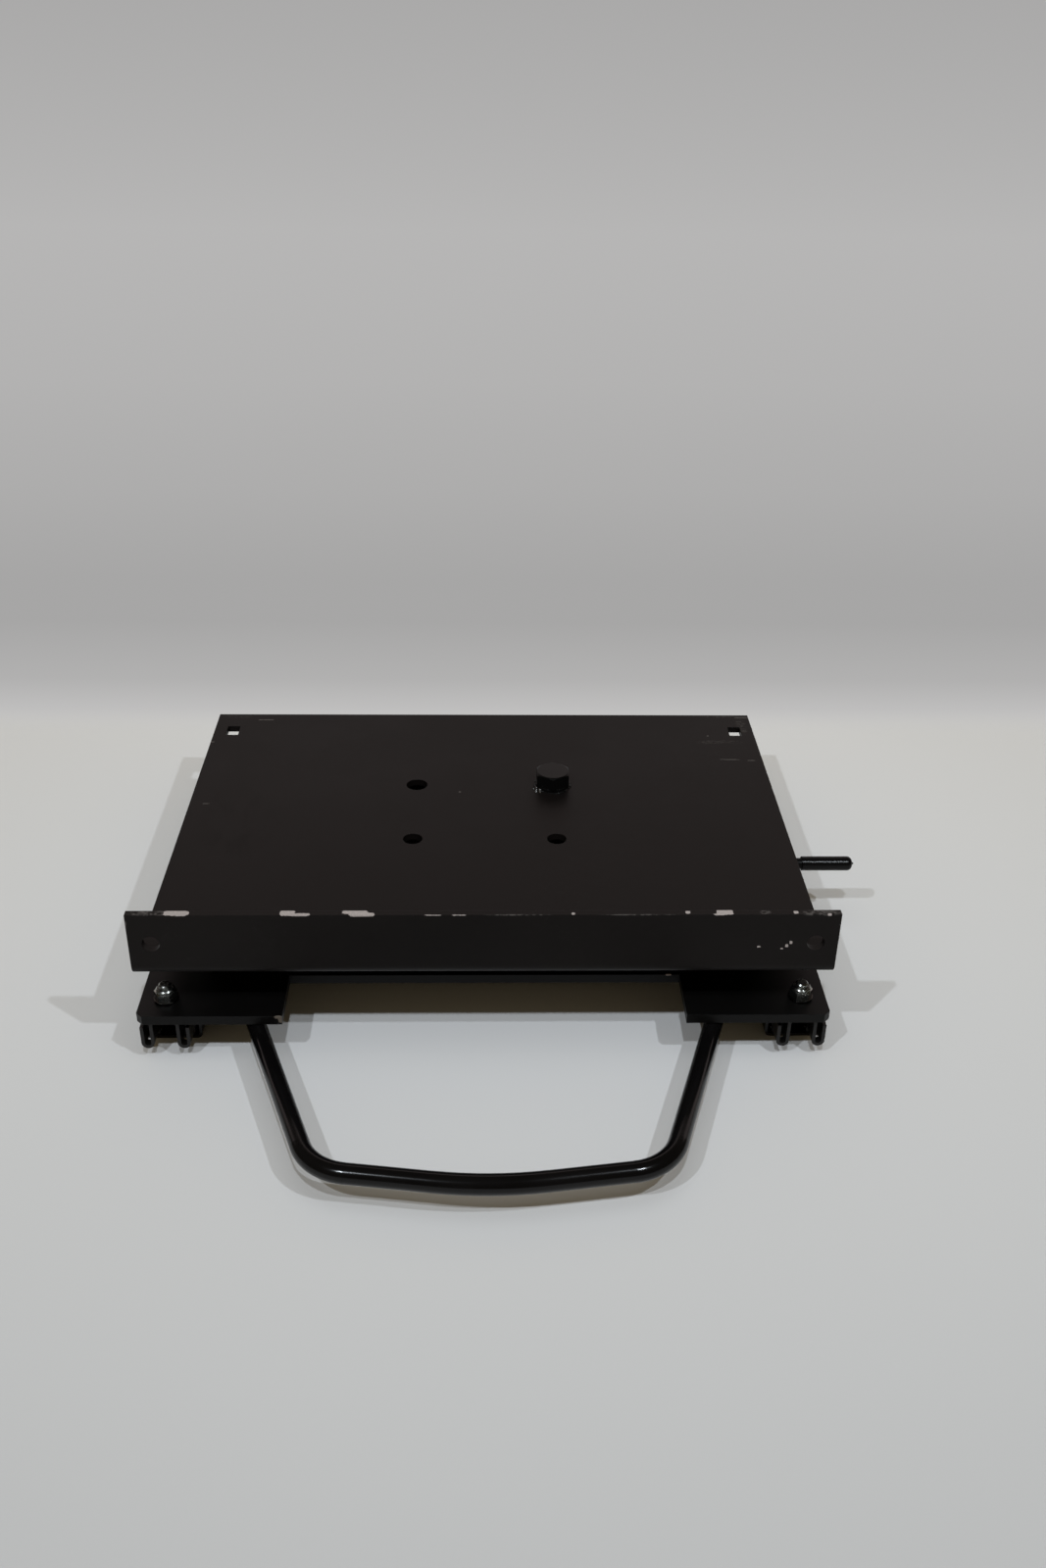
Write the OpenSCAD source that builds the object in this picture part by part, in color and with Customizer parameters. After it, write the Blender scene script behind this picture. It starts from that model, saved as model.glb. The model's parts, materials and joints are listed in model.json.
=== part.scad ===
// Swivel seat base on slide rails, for a camper seat. Millimetres.
// X points right, Y points back, Z points up. The origin is on the floor, midway between the floor rails.

/* [Top plate] */
// Width of the top plate and of its flange
plate_w = 440; // [425:1:480]
// Depth of the top plate, from the flange's front face
plate_d = 350; // [345:1:400]
// Sheet thickness of the top plate
plate_t = 5; // [4:0.5:7]
// Height of the flange above the plate's top surface
flange_rise = 41.5; // [32:0.5:70]
// Outside radius of the flange's bend
flange_bend_r = 8; // [7.5:0.5:11]
// Diameter of the two holes through the flange
flange_hole_d = 11; // [8:0.5:14]
// Distance of the flange holes from the flange's ends
flange_hole_in = 14; // [11:0.5:30]
// Height of the flange holes above the plate's top surface
flange_hole_z = 20; // [16:0.5:24]
// Width of each seat slot at the back corners
seat_slot_w = 10; // [8:0.5:12]
// Length of each seat slot, front to back
seat_slot_l = 15; // [12:0.5:20]
// Distance of the seat slots' centres from the plate's sides
seat_slot_in = 15; // [12:0.5:30]
// Distance from the plate's back edge to the slots' centres
seat_slot_inset = 29; // [20:1:40]

/* [Pivot] */
// Distance of the pivot from the middle of the plate
pivot_x = 51.5; // [40:0.5:60]
// Distance of the pivot behind the flange's front face
pivot_back = 232.5; // [226:0.5:238]
// Spacing of the spare pivot holes, left to right
spare_dx = 103.5; // [90:0.5:115]
// Spacing of the spare pivot holes, front to back
spare_dy = 78; // [70:0.5:84]
// Diameter of the front pair of holes
front_hole_d = 14; // [10:0.5:16]
// Diameter of the pivot bolt's shank
pivot_d = 16; // [14:0.5:18]
// Width across flats of the pivot bolt's head and nut
pivot_af = 24; // [23:0.5:27]
// Height of the pivot bolt's head
pivot_head_h = 10; // [7:0.5:13]
// Height of the collar under the pivot bolt's head
pivot_collar_h = 2.6; // [1:0.2:4]
// Height of the pivot nut
pivot_nut_h = 14.8; // [12:0.2:16]
// Outside diameter of the pivot boss
boss_d = 44; // [34:1:54]
// Thickness of the thrust washer on the boss
thrust_t = 1.8; // [1:0.1:3]
// Outside diameter of the thrust washer
thrust_d = 56; // [46:1:66]
// Outside diameter of the washer under the pivot
pivot_washer_d = 50; // [32:1:60]
// Thickness of the washer under the pivot
pivot_washer_t = 3; // [2:0.5:4]
// Radial running clearance of a pin in its bore
pin_play = 0.05; // [0.03:0.01:0.1]
// Vertical play of the swivel
pivot_play = 0.2; // [0.1:0.05:0.3]

/* [Lower plate] */
// Width of the lower plate
lower_w = 444; // [438:1:470]
// Depth of the lower plate
lower_d = 351.5; // [347:0.5:370]
// How far its front edge stands ahead of the flange
lower_lead = 1.5; // [0:0.25:3]
// Thickness of the lower plate
lower_t = 6.5; // [5:0.5:8]
// Width of the tabs on both sides of the notch in its front edge
tab_w = 92.75; // [88:0.25:100]
// Depth of the notch in its front edge
notch_d = 42.5; // [25:0.5:52]
// Chamfer on its front corners
corner_cut = 4; // [2:0.5:8]
// Width of the window in front of the pivot
window_w = 72; // [50:1:80]
// Depth of the window in front of the pivot
window_d = 93; // [60:1:96]
// Radius of the window's corners
window_r = 8; // [4:1:14]

/* [Bearers] */
// Height of the box-section bearers
bearer_h = 29.5; // [28:0.5:36]
// Width of the box-section bearers
bearer_w = 30; // [20:1:34]
// Wall of the box-section bearers
bearer_wall = 2.5; // [2:0.25:4]
// Distance of the bearers' ends from the lower plate's sides
bearer_in = 32; // [29:0.5:60]
// Distance of the front bearer's centre behind the flange's front face
front_bearer_back = 80; // [70:1:90]
// Distance of the rear bearer's centre behind the flange's front face
rear_bearer_back = 327; // [325:1:330]
// Thickness of the glide strips on the bearers
strip_t = 0.8; // [0.6:0.1:1.5]
// Distance of the glide strips' ends from the bearers' ends
strip_in = 7.6; // [4:0.1:15]
// Width of the glide strips
strip_w = 20; // [12:1:24]

/* [Rails] */
// Length of the floor rails
floor_rail_len = 374; // [370:1:400]
// Length of the slide rails
slide_rail_len = 374; // [345:1:376]
// Distance of the rails' centres from the lower plate's sides
rail_in = 16.6; // [16:0.1:17.4]
// Width of the floor rail
floor_rail_w = 38; // [37:0.2:38.4]
// Height of the floor rail
floor_rail_h = 28.5; // [28:0.5:31]
// Sheet thickness of the floor rail
rail_t = 2; // [1.6:0.1:2.2]
// Outside radius of the floor rail's bends
rail_bend_r = 4; // [3:0.25:5]
// Outside width of the slide rail's hat
hat_w = 19.2; // [18.8:0.1:19.6]
// Sheet thickness of the slide rail
slide_t = 2.2; // [1.8:0.1:2.3]
// Width inside each curled trough
trough_w = 4; // [3.8:0.1:4.4]
// Outside radius of the hat's bends
hat_bend_r = 4; // [3:0.25:5]
// Length of the openings at the ends of the troughs
trough_slot_l = 14; // [8:1:20]
// How far the slide rail stands above the floor rail
slide_proud = 2.5; // [1.5:0.25:4]
// Height of the curled hooks above the floor rail's base
glide_h = 6.7; // [6:0.1:7.2]
// Length of each glide
glide_l = 36; // [24:1:36]
// Spacing of the glides, front to back
glide_pitch = 150; // [120:1:150]
// Distance of the floor rails' front ends behind the flange's front face
rail_set_back = 23; // [18:1:30]
// Spacing of the floor bolts, front to back
floor_bolt_pitch = 340; // [300:1:350]
// Diameter of the floor bolt holes
floor_hole_d = 8.5; // [6.5:0.5:10.5]
// Distance of the rear rail bolts from the lower plate's back edge
rail_bolt_in = 33; // [27:0.5:43]
// Distance of the front rail bolts behind the flange's front face
rail_bolt_back = 17; // [15:0.5:19]

/* [Small bolts] */
// Shank diameter of the rail bolts and lever bolt
bolt_d = 8; // [7:0.5:9]
// Width across flats of their heads and nuts
bolt_af = 13; // [12.5:0.1:13.4]
// Height of their heads
bolt_head_h = 5.3; // [4:0.1:6]
// Height of their nuts
nut_h = 7.6; // [6:0.1:8]
// Length of thread standing out of a nut
thread_out = 3; // [0.6:0.1:3.2]
// Outside diameter of their washers
washer_d = 16; // [15:0.5:20]
// Thickness of their washers
washer_t = 1.6; // [1:0.1:2]

/* [Slide handle] */
// Diameter of the handle's bar
bar_d = 12.5; // [11:0.1:12.8]
// Diameter of the tail pins behind the handle's pivot
tail_d = 8; // [7.6:0.1:8.4]
// Height of the bar's centre above the floor
bar_z = 24.3; // [24.2:0.1:24.4]
// Distance from the rails' centres to the arms where they leave the tabs
arm_front_in = 59.9; // [58:0.1:65]
// Distance from the rails' centres to the arms' rear ends
arm_rear_in = 45.4; // [44:0.1:47]
// Distance from the rails' centres to the handle's front corners
corner_in = 102.1; // [95:0.1:115]
// Reach of the front corners ahead of the flange
corner_reach = 122.5; // [90:0.5:150]
// Reach of the middle of the bar ahead of the flange
apex_reach = 137; // [100:0.5:165]
// How far the front of the bar is bent over to the right
bar_skew = 3; // [0:0.5:4]
// Bend radius at the front corners
corner_r = 34; // [20:1:40]
// Bend radius at the middle of the bar
apex_r = 240; // [100:1:400]
// Distance of the handle's pivot behind the flange's front face
handle_pivot_back = 30; // [29:0.5:31]
// Distance of the arms' rear ends behind the flange's front face
arm_end_back = 97; // [94:1:102]
// Angle that the arms' rear ends hang down while the handle is held up
handle_drop = 4.2; // [4:0.1:4.3]
// Diameter of the handle's pivot pins
handle_pin_d = 6; // [5:0.5:6.5]

/* [Latches] */
// Pitch of the latch windows
latch_pitch = 15; // [14:0.5:16]
// Number of latch windows in each floor rail
window_count = 15; // [15:1:15]
// Length of each latch window
latch_window_l = 8; // [7.4:0.1:9]
// Width of each latch tooth
tooth_w = 6.6; // [5:0.1:7]
// Thickness of the latch plate
latch_t = 3; // [2.5:0.1:3.2]
// Length of the latch plate
latch_len = 44; // [40:1:48]
// Distance of the latches' centres behind the flange's front face
latch_back = 100; // [99:0.5:101]
// Distance of the latch pin inside the floor rail's wall
latch_pin_in = 8.4; // [8:0.1:9]
// Height of the latch pin above the floor
latch_pin_z = 6.5; // [6:0.1:7]
// Angle that the latches turn through
latch_turn = 15; // [14.5:0.5:15]
// Diameter of the latch pin
latch_pin_d = 5; // [4:0.5:5.5]
// Width of the latch plate beside its pin
latch_web = 12; // [11:0.5:13]
// Length of the finger that the handle's arm presses
finger_l = 10; // [6:0.5:12]

/* [Swivel lever] */
// Diameter of the lever's rod
rod_d = 8; // [7:0.5:9]
// Distance of the rod behind the flange's front face
rod_back = 153.5; // [150:0.5:157]
// Height of the rod's centre above the lower plate
rod_rise = 15; // [14.5:0.25:15.5]
// Reach of the grip's tip from the top plate's side
grip_out = 48.5; // [40:0.5:70]
// Length of the grip
grip_l = 38; // [28:1:45]
// Outside diameter of the grip
grip_d = 10.4; // [9.4:0.1:11.5]
// Width of the lever's crank plate between its two pivots
crank_w = 14; // [12:0.5:16]
// Thickness of the lever's crank plate
crank_t = 6; // [5:0.25:6.5]
// Angle that the lever turns through
lever_turn = 7.5; // [7.4:0.1:8]
// Distance of the catch pin from the pivot when it is in a keeper
catch_r = 70; // [68:0.5:71]
// Diameter of the catch pin
catch_d = 11; // [9:0.5:11.5]
// Distance of the lever's own pivot from the catch pin
crank_arm = 50; // [49:0.5:53]
// Outside diameter of the lever's bush
bush_d = 12; // [11:0.5:14]
// Side clearance of the catch pin in its keeper
keeper_play = 0.8; // [0.7:0.05:1]
// Sheet thickness of the keepers
keeper_t = 3; // [2:0.25:3.5]

/* [Hidden] */
$fn = 64;

black_paint = [0.13, 0.12, 0.12];
black_gloss = [0.05, 0.05, 0.05];
zinc = [0.72, 0.74, 0.76];
yellow_zinc = [0.72, 0.62, 0.25];
white_plastic = [0.85, 0.85, 0.82];

// Levels, from the floor up
floor_level = 0;
hook_bottom = rail_t + glide_h + 0.3;
lower_bottom = floor_rail_h + slide_proud;
lower_top = lower_bottom + lower_t;
plate_gap = bearer_h + strip_t + pivot_play;
plate_bottom = lower_top + plate_gap;
plate_top = plate_bottom + plate_t;
rod_z = lower_top + rod_rise;

// Places, from the middle to the sides
rail_x = lower_w / 2 - rail_in;
bearer_len = lower_w - 2 * bearer_in;
arm_front_x = rail_x - arm_front_in;
arm_rear_x = rail_x - arm_rear_in;
corner_x = rail_x - corner_in;
grip_tip_x = plate_w / 2 + grip_out;

// Places, front to back
front_y = -(floor_rail_len / 2 + rail_set_back);
slide_front_y = front_y + 2;
slide_mid_y = slide_front_y + slide_rail_len / 2;
pivot_y = front_y + pivot_back;
latch_y = front_y + latch_back;
handle_pivot_y = front_y + handle_pivot_back;

// Slide rail section
hat_half = hat_w / 2;
hook_x = hat_half + trough_w / 2;
hook_r = trough_w / 2 + slide_t;
hook_z = hook_bottom + hook_r;
hook_lip_top = floor_rail_h - rail_t - 0.8;
glide_shift = -24;
floor_lip_x = hat_half + (trough_w - rail_t) / 2;
floor_lip_bottom = hook_z + 1.8;
lip_bend_r = rail_t + 1;

// Latch
rail_wall_x = rail_x - floor_rail_w / 2;
latch_pin_x = rail_wall_x - latch_pin_in;
latch_top = bar_z - tail_d / 2 - 0.7;
latch_bottom = latch_top - latch_t;
tooth_tip_x = rail_wall_x + rail_t + 0.6;
latch_edge_x = rail_wall_x - 3.4;
finger_back_y = latch_y - 8;
ear_t = 2.5;
latch_end_gap = 1.2;
latch_lug = [-13, 14];

// Lever, drawn with the catch pin drawn back
catch_angle = -45;
catch_rest_r = catch_r + crank_arm * sin(lever_turn);
catch_pos = [pivot_x + catch_rest_r * cos(catch_angle), pivot_y + catch_rest_r * sin(catch_angle)];
lever_pos = catch_pos + crank_arm * [-sin(catch_angle), cos(catch_angle)];
crank_bottom = rod_z - crank_t / 2;
crank_top = rod_z + crank_t / 2;
rod_in_x = lever_pos[0] + 6;
rod_y = front_y + rod_back;
keeper_half = catch_d / 2 + keeper_play;
keeper_bottom = crank_top + 1.5;
spring_y = rod_y + 4;
spring_post_x = lever_pos[0] - crank_arm * 0.88;
leg_x = lever_pos[0] + 2;
leg_w = 18;

// A 2D quarter ring, the bend of a folded sheet
module sheet_bend(r, t, turn) {
    rotate(turn) intersection() {
        difference() {
            circle(r);
            circle(r - t);
        }
        square(r);
    }
}

// Runs a section drawn in X and Z along Y, centred
module along_y(length) {
    rotate([90, 0, 0]) linear_extrude(length, center = true) children();
}

module along_x(length) {
    rotate([90, 0, 90]) linear_extrude(length, center = true) children();
}

module both_ways() {
    children();
    mirror([1, 0]) children();
}

module hex(af, h) {
    cylinder(d = af / cos(30), h = h, $fn = 6);
}

// Hexagon with its top corners turned off, as on a bolt head
module hex_head(af, h) {
    corner_d = af / cos(30);
    slope = (corner_d - af) / 2 * 0.58;
    intersection() {
        hex(af, h);
        union() {
            cylinder(d = corner_d + 1, h = h - slope);
            translate([0, 0, h - slope]) cylinder(d1 = corner_d, d2 = af * 0.97, h = slope);
        }
    }
}

// Nut with a nylon ring held in its round collar
module lock_nut(af, h, bore) {
    hex_h = h * 0.72;
    difference() {
        union() {
            hex_head(af, hex_h);
            translate([0, 0, hex_h * 0.9]) cylinder(d = af * 0.93, h = h - hex_h * 0.9 - 0.8);
            translate([0, 0, h - 0.8]) cylinder(d1 = af * 0.93, d2 = af * 0.93 - 1.6, h = 0.8);
        }
        translate([0, 0, -1]) cylinder(d = bore, h = h + 2);
    }
}

module washer(od, id, t) {
    difference() {
        cylinder(d = od, h = t);
        translate([0, 0, -1]) cylinder(d = id, h = t + 2);
    }
}

function ring(centre, along, out, side, r, n) =
    [for (i = [0:n - 1]) centre + r * (out * cos(360 * i / n) + side * sin(360 * i / n))];

// Coil spring standing on Z, from 0 to length
module coil(od, wire, length, turns, per_turn = 12, sides = 5) {
    mean_r = (od - wire) / 2;
    steps = turns * per_turn;
    rise = length - wire;
    points = [for (i = [0:steps]) let (a = 360 * i / per_turn)
        ring([mean_r * cos(a), mean_r * sin(a), wire / 2 + rise * i / steps], [0, 0, 1],
            [cos(a), sin(a), 0], [0, 0, 1], wire / 2, sides)];
    flat = [for (p = points) each p];
    sides_f = [for (i = [0:steps - 1], j = [0:sides - 1])
        [i * sides + j, (i + 1) * sides + j, (i + 1) * sides + (j + 1) % sides, i * sides + (j + 1) % sides]];
    polyhedron(flat, concat(sides_f, [[for (j = [0:sides - 1]) j]],
        [[for (j = [sides - 1:-1:0]) steps * sides + j]]), convexity = 10);
}

// Rails
module floor_rail_section() {
    hw = floor_rail_w / 2;
    both_ways() {
        square([hw - rail_bend_r, rail_t]);
        translate([hw - rail_bend_r, rail_bend_r]) sheet_bend(rail_bend_r, rail_t, -90);
        translate([hw - rail_t, rail_bend_r]) square([rail_t, floor_rail_h - 2 * rail_bend_r]);
        translate([hw - rail_bend_r, floor_rail_h - rail_bend_r]) sheet_bend(rail_bend_r, rail_t, 0);
        translate([floor_lip_x + lip_bend_r, floor_rail_h - rail_t])
            square([hw - rail_bend_r - floor_lip_x - lip_bend_r, rail_t]);
        translate([floor_lip_x + lip_bend_r, floor_rail_h - lip_bend_r]) sheet_bend(lip_bend_r, rail_t, 90);
        translate([floor_lip_x, floor_lip_bottom])
            square([rail_t, floor_rail_h - lip_bend_r - floor_lip_bottom]);
    }
}

module floor_rail() {
    window_h = latch_t + 4.5;
    first_window = latch_y - latch_pitch * 4;
    stop_w = 5;
    stop_h = 4.4;
    color(black_paint) translate([rail_x, 0, floor_level]) difference() {
        union() {
            along_y(floor_rail_len) floor_rail_section();
            for (end = [-1, 1], side = [-1, 1])
                translate([side * hook_x - stop_w / 2, end * (floor_rail_len / 2 - 2.2) - rail_t / 2, 0])
                    cube([stop_w, rail_t, rail_t + stop_h]);
        }
        for (end = [-1, 1]) {
            translate([0, end * floor_bolt_pitch / 2, -1]) cylinder(d = floor_hole_d, h = rail_t + 2);
            for (side = [-1, 1])
                translate([side * hook_x - stop_w / 2, end * (floor_rail_len / 2 - 7.5) - 2.5, -1])
                    cube([stop_w, 5, rail_t + 2]);
        }
        for (i = [0:window_count - 1])
            translate([-floor_rail_w / 2 - 1, first_window + i * latch_pitch - latch_window_l / 2, latch_bottom - 1.4])
                cube([rail_t + 2, latch_window_l, window_h]);
    }
}

module slide_rail_section() {
    both_ways() {
        translate([0, lower_bottom - slide_t]) square([hat_half - hat_bend_r, slide_t]);
        translate([hat_half - hat_bend_r, lower_bottom - hat_bend_r]) sheet_bend(hat_bend_r, slide_t, 0);
        translate([hat_half - slide_t, hook_z]) square([slide_t, lower_bottom - hat_bend_r - hook_z]);
        translate([hook_x, hook_z]) sheet_bend(hook_r, slide_t, 180);
        translate([hook_x, hook_z]) sheet_bend(hook_r, slide_t, 270);
        translate([hat_half + trough_w, hook_z]) square([slide_t, hook_lip_top - hook_z]);
    }
}

module slide_rail() {
    color(black_paint) translate([rail_x, slide_mid_y, 0]) difference() {
        along_y(slide_rail_len) slide_rail_section();
        for (end = [-1, 1], side = [-1, 1])
            translate([side * hook_x - trough_w / 2, end * (slide_rail_len / 2 - 6 - trough_slot_l / 2)
                - trough_slot_l / 2, hook_bottom - 1]) cube([trough_w, trough_slot_l, hook_r + 0.5]);
        for (y = rail_bolt_ys())
            translate([0, y - slide_mid_y, lower_bottom - slide_t - 1]) cylinder(d = bolt_d + 1, h = slide_t + 2);
    }
}

function rail_bolt_ys() = [front_y + rail_bolt_back, front_y - lower_lead + lower_d - rail_bolt_in];

// Glides that carry the curled hooks on the floor rail
module glides() {
    low = rail_t + 0.3;
    color(white_plastic) for (end = [-1, 1], side = [-1, 1])
        translate([rail_x + side * hook_x, slide_mid_y + glide_shift + end * glide_pitch / 2, 0])
            along_y(glide_l) difference() {
                polygon([[-hook_r + 1.2, low], [hook_r - 1.2, low], [hook_r, low + 1.2], [hook_r, hook_z - 2.7],
                    [-hook_r, hook_z - 2.7], [-hook_r, low + 1.2]]);
                translate([0, hook_z]) circle(hook_r);
            }
}

// Lower plate
module lower_plate_outline() {
    hw = lower_w / 2;
    nw = lower_w / 2 - tab_w;
    half = [[nw, notch_d], [nw, 0], [hw - corner_cut, 0], [hw, corner_cut], [hw, lower_d]];
    polygon(concat(half, [for (i = [len(half) - 1:-1:0]) [-half[i][0], half[i][1]]]));
}

module rounded_window(w, d, r) {
    translate([r, 0]) square([w - 2 * r, d]);
    translate([0, r]) square([w, d - 2 * r]);
    for (x = [r, w - r], y = [r, d - r]) translate([x, y]) circle(r);
}

module lower_plate() {
    window_back = pivot_back - boss_d / 2 - 7.5;
    color(black_paint) difference() {
        translate([0, front_y - lower_lead, lower_bottom]) linear_extrude(lower_t) difference() {
            lower_plate_outline();
            translate([pivot_x - 7.5 - window_w / 2, lower_lead + window_back - window_d])
                rounded_window(window_w, window_d, window_r);
        }
        for (side = [-1, 1], y = rail_bolt_ys())
            translate([side * rail_x, y, lower_bottom - 1]) cylinder(d = bolt_d + 1, h = lower_t + 2);
        translate([pivot_x, pivot_y, lower_bottom - 1]) cylinder(d = pivot_d + 2, h = lower_t + 2);
        translate([lever_pos[0], lever_pos[1], lower_bottom - 1]) cylinder(d = bolt_d + 0.5, h = lower_t + 2);
    }
}

// Box bearers between the plates, with glide strips on them
module bearer_section() {
    r = 4;
    translate([-bearer_w / 2, 0]) {
        translate([r, 0]) square([bearer_w - 2 * r, bearer_wall]);
        translate([r, bearer_h - bearer_wall]) square([bearer_w - 2 * r, bearer_wall]);
        translate([0, r]) square([bearer_wall, bearer_h - 2 * r]);
        translate([bearer_w - bearer_wall, r]) square([bearer_wall, bearer_h - 2 * r]);
        translate([r, r]) sheet_bend(r, bearer_wall, 180);
        translate([bearer_w - r, r]) sheet_bend(r, bearer_wall, 270);
        translate([bearer_w - r, bearer_h - r]) sheet_bend(r, bearer_wall, 0);
        translate([r, bearer_h - r]) sheet_bend(r, bearer_wall, 90);
    }
}

module bearer(back) {
    color(black_paint) translate([0, front_y + back, lower_top]) along_x(bearer_len) bearer_section();
}

module glide_strip(back) {
    strip_len = bearer_len - 2 * strip_in;
    color(white_plastic) translate([-strip_len / 2, front_y + back - strip_w / 2, lower_top + bearer_h])
        cube([strip_len, strip_w, strip_t]);
}

// Pivot
module pivot_boss() {
    boss_h = plate_gap - thrust_t - pivot_play;
    color(black_paint) translate([pivot_x, pivot_y, lower_top]) difference() {
        cylinder(d = boss_d, h = boss_h);
        translate([0, 0, -1]) cylinder(d = pivot_d + 2 * pin_play, h = boss_h + 2);
    }
}

module thrust_washer() {
    color(white_plastic) translate([pivot_x, pivot_y, plate_bottom - pivot_play - thrust_t])
        washer(thrust_d, pivot_d + 1, thrust_t);
}

module pivot_bolt() {
    shank = plate_t + plate_gap + lower_t + pivot_play + pivot_washer_t + pivot_nut_h + 2;
    color(black_paint) translate([pivot_x, pivot_y, plate_top]) {
        translate([0, 0, pivot_collar_h]) rotate(30) hex_head(pivot_af, pivot_head_h);
        cylinder(d = pivot_af + 1.5, h = pivot_collar_h);
        translate([0, 0, -shank]) cylinder(d = pivot_d, h = shank);
    }
}

module pivot_washer() {
    color(yellow_zinc) translate([pivot_x, pivot_y, lower_bottom - pivot_play - pivot_washer_t])
        washer(pivot_washer_d, pivot_d, pivot_washer_t);
}

module pivot_nut() {
    color(zinc) translate([pivot_x, pivot_y, lower_bottom - pivot_play - pivot_washer_t])
        mirror([0, 0, 1]) lock_nut(pivot_af, pivot_nut_h, pivot_d);
}

// Top plate, one sheet with its front edge folded up
module top_plate() {
    r = flange_bend_r;
    top_edge = plate_top + flange_rise;
    color(black_paint) difference() {
        union() {
            translate([-plate_w / 2, front_y + r, plate_bottom]) cube([plate_w, plate_d - r, plate_t]);
            translate([-plate_w / 2, front_y, plate_bottom + r])
                cube([plate_w, plate_t, top_edge - plate_bottom - r]);
            translate([0, front_y + r, plate_bottom + r]) along_x(plate_w) sheet_bend(r, plate_t, 180);
        }
        for (side = [-1, 1]) {
            translate([side * (plate_w / 2 - flange_hole_in), front_y - 1, plate_top + flange_hole_z]) rotate([-90, 0, 0])
                cylinder(d = flange_hole_d, h = plate_t + 2);
            translate([side * (plate_w / 2 - seat_slot_in) - seat_slot_w / 2,
                front_y + plate_d - seat_slot_inset - seat_slot_l / 2, plate_bottom - 1])
                cube([seat_slot_w, seat_slot_l, plate_t + 2]);
        }
        for (x = [0, -spare_dx], y = [0, -spare_dy])
            translate([pivot_x + x, pivot_y + y, plate_bottom - 1])
                cylinder(d = y == 0 ? pivot_d : front_hole_d, h = plate_t + 2);
    }
}

// U-shaped keepers under the top plate, one for each way that the seat locks
module catch_keepers() {
    closed_end = catch_r - catch_d / 2 - 0.5;
    open_end = catch_r;
    h = plate_bottom - keeper_bottom;
    color(black_paint) translate([pivot_x, pivot_y, keeper_bottom]) for (turn = [0, 180])
        rotate(catch_angle + turn) linear_extrude(h) difference() {
            translate([closed_end - keeper_t, -keeper_half - keeper_t])
                square([open_end - closed_end + keeper_t, 2 * (keeper_half + keeper_t)]);
            translate([closed_end, -keeper_half]) square([open_end, 2 * keeper_half]);
        }
}

// Rail fasteners
module at_rail_bolts() {
    for (side = [-1, 1], y = rail_bolt_ys()) translate([side * rail_x, y, 0]) children();
}

module rail_bolts() {
    shank_top = lower_top + washer_t + nut_h + thread_out;
    color(zinc) at_rail_bolts() {
        translate([0, 0, lower_bottom - slide_t]) mirror([0, 0, 1]) rotate(30) hex_head(bolt_af, bolt_head_h);
        translate([0, 0, lower_bottom - slide_t])
            cylinder(d = bolt_d, h = shank_top - lower_bottom + slide_t - 0.8);
        translate([0, 0, shank_top - 0.8]) cylinder(d1 = bolt_d, d2 = bolt_d - 1.6, h = 0.8);
    }
}

module rail_washers() {
    color(zinc) at_rail_bolts() translate([0, 0, lower_top]) washer(washer_d, bolt_d, washer_t);
}

module rail_nuts() {
    color(zinc) at_rail_bolts() translate([0, 0, lower_top + washer_t]) lock_nut(bolt_af, nut_h, bolt_d);
}

// Handle: a bar bent in one plane, given by its corners and bend radii
arm_slope = (arm_front_x - corner_x) / corner_reach;
pivot_arm_x = arm_front_x + arm_slope * handle_pivot_back;
handle_path = [[pivot_arm_x, handle_pivot_back], [corner_x + bar_skew, -corner_reach], [bar_skew, -apex_reach],
    [bar_skew - corner_x, -corner_reach], [-pivot_arm_x, handle_pivot_back]];
handle_bends = [0, corner_r, apex_r, corner_r, 0];
rear_way = [arm_rear_x - pivot_arm_x, arm_end_back - handle_pivot_back];

function unit(v) = v / norm(v);
function turn_angle(a, b, c) = acos(unit(b - a) * unit(c - b));
function cut_back(i) = handle_bends[i] == 0 ? 0
    : handle_bends[i] * tan(turn_angle(handle_path[i - 1], handle_path[i], handle_path[i + 1]) / 2) - 1;

// The straight lengths run 1 mm into the bends and are a hair thinner
module bar_lengths() {
    for (i = [0:3]) {
        way = unit(handle_path[i + 1] - handle_path[i]);
        from = handle_path[i] + way * cut_back(i);
        to = handle_path[i + 1] - way * cut_back(i + 1);
        translate([from[0], from[1], 0]) rotate([0, 90, atan2(way[1], way[0])])
            cylinder(d = bar_d - 0.12, h = norm(to - from));
    }
}

module bar_bends() {
    for (i = [1:3]) {
        into = unit(handle_path[i] - handle_path[i - 1]);
        out = unit(handle_path[i + 1] - handle_path[i]);
        inward = unit(out - into);
        angle = turn_angle(handle_path[i - 1], handle_path[i], handle_path[i + 1]);
        centre = handle_path[i] + inward * handle_bends[i] / cos(angle / 2);
        translate([centre[0], centre[1], 0]) rotate(atan2(-inward[1], -inward[0]) - angle / 2)
            rotate_extrude(angle = angle) translate([handle_bends[i], 0]) circle(d = bar_d);
    }
}

lug_half = bar_d / 2 + 4.2;
lug_r = lower_bottom - bar_z - 0.2;
eye_d = bar_d + 0.2;

// The bar, a welded eye on each arm at its pivot, and the arms' drooping rear ends
module handle_bar() {
    color(black_gloss) translate([0, front_y, bar_z]) difference() {
        union() {
            bar_lengths();
            bar_bends();
            for (side = [0, 1]) mirror([side, 0, 0]) translate([pivot_arm_x, handle_pivot_back, 0]) {
                rotate([-handle_drop, 0, 0]) rotate([0, 90, atan2(rear_way[1], rear_way[0])])
                    cylinder(d = tail_d, h = norm(rear_way));
                rotate([0, 90, 0]) cylinder(d = eye_d, h = 2 * lug_half - 1.6, center = true);
            }
        }
        for (side = [-1, 1]) translate([side * pivot_arm_x, handle_pivot_back, 0])
            rotate([0, 90, 0]) cylinder(d = handle_pin_d + 2 * pin_play, h = 4 * bar_d, center = true);
    }
}

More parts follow.
